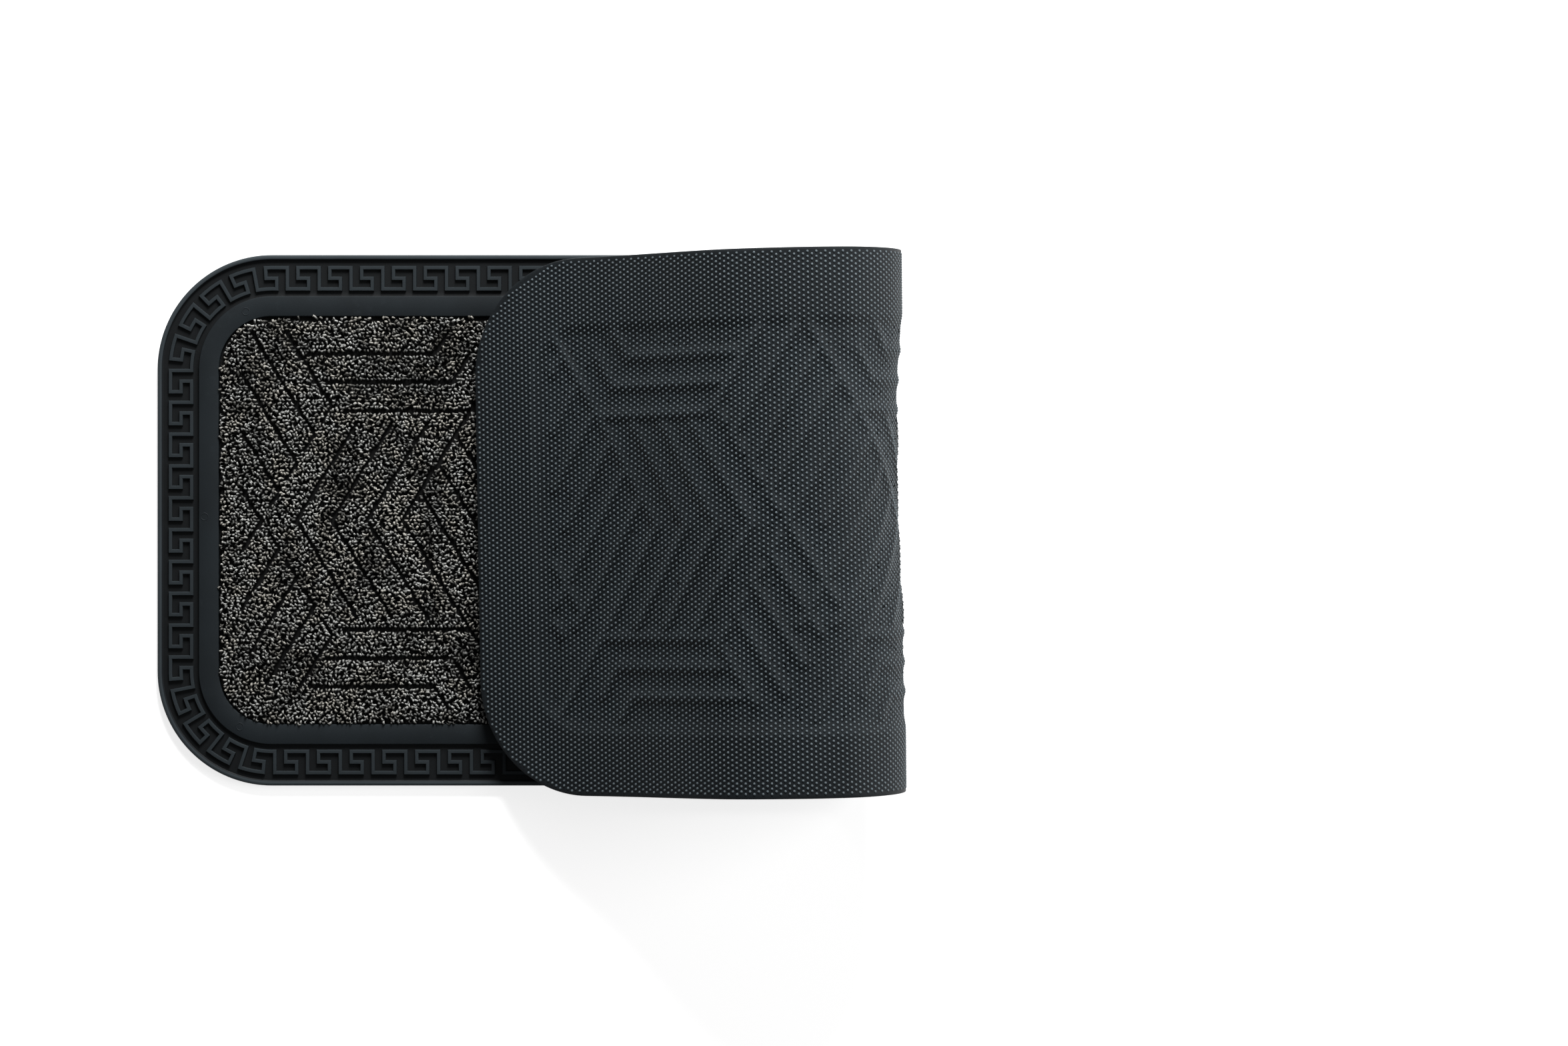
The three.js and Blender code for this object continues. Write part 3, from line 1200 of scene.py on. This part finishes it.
class Shader:
    """Builds one material's nodes."""

    def __init__(self, name):
        self.material = bpy.data.materials.new(name)
        self.material.use_nodes = True
        self.tree = self.material.node_tree
        self.tree.nodes.clear()
        self.surface = self.node("ShaderNodeBsdfPrincipled", {}, {})
        output = self.node("ShaderNodeOutputMaterial", {}, {})
        self.tree.links.new(self.surface.outputs["BSDF"], output.inputs["Surface"])

    def node(self, kind, settings, sockets):
        """Any node: its settings first, then the values or links of its sockets."""
        made = self.tree.nodes.new(kind)
        for name, value in settings.items():
            setattr(made, name, value)
        for key, value in sockets.items():
            self.feed(made.inputs[key], value)
        return made

    def feed(self, socket, value):
        if isinstance(value, Value):
            self.tree.links.new(value.socket, socket)
        elif isinstance(value, bpy.types.NodeSocket):
            self.tree.links.new(value, socket)
        else:
            socket.default_value = value

    def value(self, kind, settings, sockets, output=0):
        return Value(self, self.node(kind, settings, sockets).outputs[output])

    def own(self, name):
        """A vector that the piece's points carry."""
        return self.node("ShaderNodeAttribute", {"attribute_name": name}, {}).outputs["Vector"]

    def own_number(self, name):
        """A number that the piece's points carry."""
        return self.value("ShaderNodeAttribute", {"attribute_name": name}, {}, "Fac")

    def parts(self, vector):
        """A vector's three numbers."""
        split = self.node("ShaderNodeSeparateXYZ", {}, {0: vector})
        return [Value(self, socket) for socket in split.outputs]

    def sine(self, value):
        return self.value("ShaderNodeMath", {"operation": "SINE"}, {0: value})

    def noise(self, place, scale, detail=2.0, roughness=0.5):
        """Uneven values, with about so many patches to the metre."""
        sockets = {"Vector": place, "Scale": scale, "Detail": detail, "Roughness": roughness}
        return self.value("ShaderNodeTexNoise", {}, sockets, "Fac")

    def ramp(self, factor, low, high):
        """0 below low, 1 above high, eased between."""
        settings = {"interpolation_type": "SMOOTHSTEP", "clamp": True}
        sockets = {"Value": factor, "From Min": low, "From Max": high}
        return self.value("ShaderNodeMapRange", settings, sockets)

    def mix(self, factor, first, second):
        node = self.node("ShaderNodeMix", {"data_type": "RGBA"}, {})
        sockets = {socket.identifier: socket for socket in node.inputs}
        self.feed(sockets["Factor_Float"], factor)
        self.feed(sockets["A_Color"], first)
        self.feed(sockets["B_Color"], second)
        return next(socket for socket in node.outputs if socket.identifier == "Result_Color")

    def bump(self, height, distance, strength=1.0):
        sockets = {"Height": height, "Distance": distance, "Strength": strength}
        return self.node("ShaderNodeBump", {}, sockets).outputs["Normal"]

    def paint(self, **sockets):
        """Feeds the surface's sockets, named with underscores for spaces."""
        for name, value in sockets.items():
            self.feed(self.surface.inputs[name.replace("_", " ")], value)
        return self.material


def shaded(color, factor):
    """A darker or lighter shade of a colour."""
    return tuple(min(part * factor, 1.0) for part in color[:3]) + (1.0,)


def rubber_material(settings):
    """Moulded rubber: matt, with a fine grain and faint dust, paler wear with a painted highlight on raised
    places, and painted shade in the channel and round the dots.
    """
    shader = Shader("moulded_rubber")
    place = shader.own(FLAT)
    height = shader.parts(place)[2]
    worn = shader.own_number(WEAR_AND_HIGHLIGHT)
    grain = shader.noise(place, 1400, 3, 0.6)
    patches = shader.noise(place, 14, 3, 0.6)
    dust = shader.ramp(shader.noise(place, 90, 4, 0.7), 0.56, 0.78)
    # Painted shade: the channel's floor and the ribbon's foot, 3.6 to 4.4 mm up, are darkened as if in
    # shadow.
    below_ribbon = 1 - shader.ramp(height, 4.4 * MM, 5.5 * MM)
    painted_channel_shade = shader.ramp(height, 3.0 * MM, 3.6 * MM) * below_ribbon
    # Painted shade: the underside below 1.9 mm is darkened round the dots, all but their paler tips.
    painted_shade_round_dots = (1 - shader.ramp(height, 1.9 * MM, 2.3 * MM)) * (1 - worn)
    base = tuple(settings.rubber_color)
    color = shader.mix(shader.ramp(patches, 0.3, 0.7), shaded(base, 0.86), shaded(base, 1.14))
    color = shader.mix(dust * 0.35, color, shaded(base, 1.7))
    color = shader.mix(shader.ramp(grain, 0.62, 0.8) * 0.3, color, shaded(base, 1.5))
    # Paler where raised: wear, and partly a painted highlight on the rim, the ribbon's top, the ridge
    # crests and the dot tips.
    color = shader.mix(worn * (0.6 + 0.4 * patches), color, tuple(settings.wear_and_highlight_color))
    # Painted shade in the channel.
    color = shader.mix(painted_channel_shade * 0.92, color, shaded(base, 0.25))
    # Painted shade round the dots.
    color = shader.mix(painted_shade_round_dots * 0.35, color, shaded(base, 0.35))
    rough = 0.58 + 0.1 * patches + 0.12 * dust - 0.1 * worn
    normal = shader.bump(grain, 0.00012, 0.5)
    return shader.paint(Base_Color=color, Roughness=rough, Normal=normal, Specular_IOR_Level=0.24)


def backing_material(settings):
    """A plain black weave."""
    shader = Shader("woven_backing")
    place = shader.own(FLAT)
    x, y, _ = shader.parts(place)
    threads_per_metre = 700
    turns = 2 * math.pi * threads_per_metre
    weave = 0.5 + 0.5 * shader.sine(x * turns) * shader.sine(y * turns)
    uneven = shader.noise(place, 220, 3)
    base = tuple(settings.backing_color)
    color = shader.mix(weave * 0.6 + 0.4 * uneven, shaded(base, 0.5), shaded(base, 1.8))
    normal = shader.bump(weave, 0.0003, 0.8)
    rough = 0.9 - 0.1 * uneven
    return shader.paint(Base_Color=color, Roughness=rough, Normal=normal, Specular_IOR_Level=0.1)


def yarn_material(settings):
    """Heathered yarn: dark and pale fibres twisted together, each loop a shade of its own, with painted
    shade darkening it towards its root.
    """
    shader = Shader("heathered_yarn")
    place = shader.own(FLAT)
    height = shader.parts(place)[2]
    # Painted shade: the loops darken towards their roots in the backing.
    above_painted_root_shade = shader.ramp(height, 3.8 * MM, 7.6 * MM)
    streaks = shader.noise(place, 2600, 2, 0.6)
    tint = shader.noise(place, 60, 2)
    shade = shader.own_number(SHADE) * (0.45 + 1.1 * streaks)
    dark = tuple(settings.yarn_dark)
    pale = tuple(settings.yarn_pale)
    warm = tuple(settings.yarn_warm)
    light = shader.mix(shader.ramp(tint, 0.4, 0.62), pale, warm)
    color = shader.mix(shader.ramp(shade, 0.0, 1.0), dark, light)
    # Painted shade at the roots.
    color = shader.mix(above_painted_root_shade, shaded(dark, 0.4), color)
    normal = shader.bump(streaks, 0.0003, 0.6)
    rough = 0.85 + 0.1 * streaks
    return shader.paint(Base_Color=color, Roughness=rough, Normal=normal, Specular_IOR_Level=0.2)


# ---- settings ----
def color_property(name, description, default):
    return bpy.props.FloatVectorProperty(
        name=name, description=description, default=default, subtype="COLOR", size=4, min=0, max=1
    )


def number_property(name, description, default, unit="NONE"):
    return bpy.props.FloatProperty(name=name, description=description, default=default, unit=unit)


def length_property(name, description, default):
    return number_property(name, description, default, "LENGTH")


class RubberSettings(bpy.types.PropertyGroup):
    rubber_color: color_property("Rubber", "Colour of the moulded rubber", (0.0086, 0.0125, 0.0154, 1))
    # This colour stands for wear and also for a painted highlight on raised places.
    wear_and_highlight_color: color_property("Worn rubber", "Colour where the rubber is rubbed", (0.155, 0.19, 0.21, 1))
    dot_radius: length_property("Dot radius", "Radius of one grip dot", 1.35 * MM)
    dot_height: length_property("Dot height", "How far a grip dot stands out", DOT_HEIGHT)


class CarpetSettings(bpy.types.PropertyGroup):
    backing_color: color_property("Backing", "Colour of the woven backing", (0.006, 0.006, 0.006, 1))
    yarn_dark: color_property("Dark yarn", "Colour of the darkest fibres", (0.024, 0.024, 0.0225, 1))
    yarn_pale: color_property("Pale yarn", "Colour of the palest fibres", (0.42, 0.425, 0.41, 1))
    yarn_warm: color_property("Warm yarn", "Colour of the beige fibres", (0.39, 0.375, 0.335, 1))
    loop_width: length_property("Loop width", "Width of one loop of yarn", 3.0 * MM)
    loop_height: length_property(
        "Loop height", "Height of one loop above the backing", PILE_TOP - BACKING_HIGH.z
    )
    seed: bpy.props.IntProperty(name="Seed", description="Which random layout of loops is made", default=7)


class StageSettings(bpy.types.PropertyGroup):
    camera_height: length_property("Camera height", "Height of the camera above the floor", 3.33)
    camera_lens: number_property("Lens", "Focal length in millimetres", 90)
    camera_offset: length_property(
        "Camera offset", "How far past the mat's near end the camera stands", 0.5314
    )
    camera_side: length_property(
        "Camera side step", "How far the camera stands from the mat's centre line", -2.3 * MM
    )
    key_power: number_property("Key light", "Power of the light on the far side", 140, "POWER")
    side_power: number_property("Side light", "Power of the light beyond the fold", 28, "POWER")
    room_light: number_property("Room light", "Strength of the room's own light", 0.12)
    floor_glow: number_property("Floor glow", "How far the floor lights itself", 0.82)
    floor_color: color_property("Floor", "Colour of the floor", (0.9, 0.9, 0.9, 1))


# ---- operators ----
MOST_DOTS = 10500
MOST_LOOPS = 8000
FLOOR_REACH = 20.0
FLOOR_DROP = 0.2 * MM
KEY_LIGHT_PLACE = (0.4, 2.4, 1.1)
KEY_LIGHT_SIZE = 1.1
SIDE_LIGHT_PLACE = (2.5, 0.3, 1.3)
SIDE_LIGHT_SIZE = 1.6
SENSOR_WIDTH = 36


class DOORMAT_OT_rubber(bpy.types.Operator):
    """Makes the rubber tray with its key ribbon, grip dots and mould marks, one piece for each stretch"""

    bl_idname = "doormat.rubber"
    bl_label = "Rubber tray"

    def execute(self, context):
        settings = context.scene.doormat_rubber
        material = rubber_material(settings)
        profile, turn_over = tray_profile()
        tray = Sheet(profile, turn_over, underside_height)
        line, loops = ribbon_parts()
        dots = dot_points()
        shape = dot_shape()
        for stretch in STRETCHES:
            parts = self.solid_parts(stretch, tray, line, loops, material)
            inside = on_stretch(dots[:, 0], stretch)
            for number, index in enumerate(split_evenly(inside, MOST_DOTS)):
                mesh = self.dot_mesh(dots[index], shape, settings, material)
                chart_from_plan(mesh, False, stretch)
                fold_up(mesh)
                piece = add_object(f"{stretch.name}_dots_{number}", mesh, material)
                if np.count_nonzero(inside) > MOST_DOTS:
                    fasten(piece, stretch, "rubber")
                else:
                    parts.append(piece)
            fasten(join(parts), stretch, "rubber")
        remove_shape(shape)
        return {"FINISHED"}

    def solid_parts(self, stretch, tray, line, loops, material):
        """The tray's length of one stretch, with the ribbon and the mould marks that lie on it."""
        meshes = [tray.part(f"{stretch.name}_tray", stretch)]
        ribbon = ribbon_mesh(f"{stretch.name}_ribbon", stretch, line, loops)
        if ribbon:
            meshes.append(ribbon)
        if stretch in (STRETCHES[0], STRETCHES[-1]):
            meshes.append(pin_mark_mesh(stretch))
        pieces = []
        for mesh in meshes:
            smooth_by_angle(mesh, 32)
            note_wear_and_highlight(mesh)
            fold_up(mesh)
            pieces.append(add_object(mesh.name, mesh, material))
        return pieces

    def dot_mesh(self, points, shape, settings, material):
        size = (settings.dot_radius, settings.dot_radius, settings.dot_height)
        values = {TURN: np.zeros((len(points), 3)), GROWTH: np.ones((len(points), 3))}
        inputs = {"Shape": shape, "Size": size, "Finish": material}
        inputs.update({"Size variation": DOT_VARIATION, "Seed": DOT_SEED})
        return scatter("grip_dots", points, values, inputs)


class DOORMAT_OT_carpet(bpy.types.Operator):
    """Makes the carpet: the woven backing and the loops of yarn on it, for each stretch"""

    bl_idname = "doormat.carpet"
    bl_label = "Loop carpet"

    def execute(self, context):
        settings = context.scene.doormat_carpet
        weave = backing_material(settings)
        yarn = yarn_material(settings)
        profile, turn_over = backing_profile()
        backing = Sheet(profile, turn_over)
        points, values = loop_points(settings.seed)
        shape = loop_shape()
        for stretch in STRETCHES:
            sheet = self.backing_piece(backing, stretch, weave)
            pile = []
            inside = on_stretch(points[:, 0], stretch)
            for number, index in enumerate(split_evenly(inside, MOST_LOOPS)):
                own_values = {key: column[index] for key, column in values.items()}
                mesh = self.loop_mesh(points[index], own_values, shape, settings, yarn)
                fold_up(mesh)
                piece = add_object(f"{stretch.name}_loops_{number}", mesh, yarn)
                fasten(piece, stretch, "loop_pile")
                pile.append(piece)
            self.declare(sheet, stretch, pile)
        remove_shape(shape)
        return {"FINISHED"}

    def backing_piece(self, backing, stretch, weave):
        mesh = backing.part(f"{stretch.name}_backing", stretch)
        smooth_by_angle(mesh, 40)
        fold_up(mesh)
        sheet = add_object(mesh.name, mesh, weave)
        fasten(sheet, stretch, "carpet_backing")
        return sheet

    def loop_mesh(self, points, values, shape, settings, yarn):
        """Some of the loops as one mesh, each with its own cell of the layout."""
        count = len(points)
        cells_across = math.ceil(math.sqrt(count))
        order = np.arange(count)
        values[CELL] = np.column_stack([order % cells_across, order // cells_across, np.zeros(count)])
        size = (settings.loop_width, settings.loop_width, settings.loop_height)
        inputs = {"Shape": shape, "Size": size, "Finish": yarn}
        inputs.update({"Size variation": LOOP_VARIATION, "Seed": settings.seed})
        mesh = scatter("yarn_loops", points, values, inputs)
        spread_charts(mesh, cells_across)
        return mesh

    def declare(self, sheet, stretch, pile):
        """Works out the backing's flat length, and its area less the carpet's rounded corners, but hands
        neither on.
        """
        start = max(stretch.start / ALONG[0], CARPET_INSET)
        end = min(stretch.end / ALONG[0], MAT_LENGTH - CARPET_INSET)
        width = 2 * (HALF_WIDTH - CARPET_INSET)
        radius = CORNER_RADIUS - CARPET_INSET
        ends = (stretch is STRETCHES[0]) + (stretch is STRETCHES[-1])
        area = width * (end - start) - ends * (2 - math.pi / 2) * radius**2
        end - start


class DOORMAT_OT_stage(bpy.types.Operator):
    """Makes the floor, the lights and the camera that looks straight down"""

    bl_idname = "doormat.stage"
    bl_label = "Stage"

    def execute(self, context):
        settings = context.scene.doormat_stage
        self.make_floor(settings)
        self.make_light("key_light", KEY_LIGHT_PLACE, KEY_LIGHT_SIZE, settings.key_power)
        self.make_light("side_light", SIDE_LIGHT_PLACE, SIDE_LIGHT_SIZE, settings.side_power)
        self.make_world(context, settings)
        self.make_camera(context, settings)
        context.scene.view_settings.view_transform = "Standard"
        return {"FINISHED"}

    def make_floor(self, settings):
        mesh = bpy.data.meshes.new("floor")
        signs = ((-1, -1), (1, -1), (1, 1), (-1, 1))
        corners = [(x * FLOOR_REACH, y * FLOOR_REACH, -FLOOR_DROP) for x, y in signs]
        mesh.from_pydata(corners, [], [(0, 1, 2, 3)])
        shader = Shader("pale_floor")
        color = tuple(settings.floor_color)
        glow = {"Emission_Color": color, "Emission_Strength": settings.floor_glow}
        material = shader.paint(Base_Color=color, Roughness=0.9, Specular_IOR_Level=0.1, **glow)
        add_object("floor", mesh, material)

    def make_light(self, name, place, size, power):
        """A round light that faces the middle of the mat."""
        light = bpy.data.lights.new(name, "AREA")
        light.shape = "DISK"
        light.size = size
        light.energy = power
        lamp = bpy.data.objects.new(name, light)
        bpy.context.scene.collection.objects.link(lamp)
        lamp.location = place
        middle = (CAD_BOX[0] + CAD_BOX[1]) / 2
        lamp.rotation_mode = "QUATERNION"
        lamp.rotation_quaternion = (middle - lamp.location).to_track_quat("-Z", "Y")

    def make_world(self, context, settings):
        world = bpy.data.worlds.new("soft_room")
        world.use_nodes = True
        background = world.node_tree.nodes["Background"]
        background.inputs["Color"].default_value = (1, 1, 1, 1)
        background.inputs["Strength"].default_value = settings.room_light
        context.scene.world = world

    def make_camera(self, context, settings):
        """A camera high above the mat that looks straight down."""
        data = bpy.data.cameras.new("camera")
        data.lens = settings.camera_lens
        data.sensor_width = SENSOR_WIDTH
        camera = bpy.data.objects.new("camera", data)
        context.scene.collection.objects.link(camera)
        across = ORIGIN[1] + settings.camera_side
        camera.location = (ORIGIN[0] + settings.camera_offset, across, settings.camera_height)
        context.scene.camera = camera


class DOORMAT_PT_sidebar(bpy.types.Panel):
    """Lists the steps that build the mat"""

    bl_label = "Door mat"
    bl_idname = "DOORMAT_PT_sidebar"
    bl_space_type = "VIEW_3D"
    bl_region_type = "UI"
    bl_category = "Door mat"

    def draw(self, context):
        for operator in OPERATORS:
            self.layout.operator(operator.bl_idname)


SETTINGS = {
    "doormat_rubber": RubberSettings,
    "doormat_carpet": CarpetSettings,
    "doormat_stage": StageSettings,
}
OPERATORS = (DOORMAT_OT_rubber, DOORMAT_OT_carpet, DOORMAT_OT_stage)


def register():
    for group in SETTINGS.values():
        bpy.utils.register_class(group)
    for name, group in SETTINGS.items():
        setattr(bpy.types.Scene, name, bpy.props.PointerProperty(type=group))
    for operator in OPERATORS:
        bpy.utils.register_class(operator)
    bpy.utils.register_class(DOORMAT_PT_sidebar)


def unregister():
    bpy.utils.unregister_class(DOORMAT_PT_sidebar)
    for operator in OPERATORS:
        bpy.utils.unregister_class(operator)
    for name, group in SETTINGS.items():
        delattr(bpy.types.Scene, name)
        bpy.utils.unregister_class(group)


def main():
    register()
    bpy.ops.doormat.rubber()
    bpy.ops.doormat.carpet()
    bpy.ops.doormat.stage()


if __name__ == "__main__":
    main()
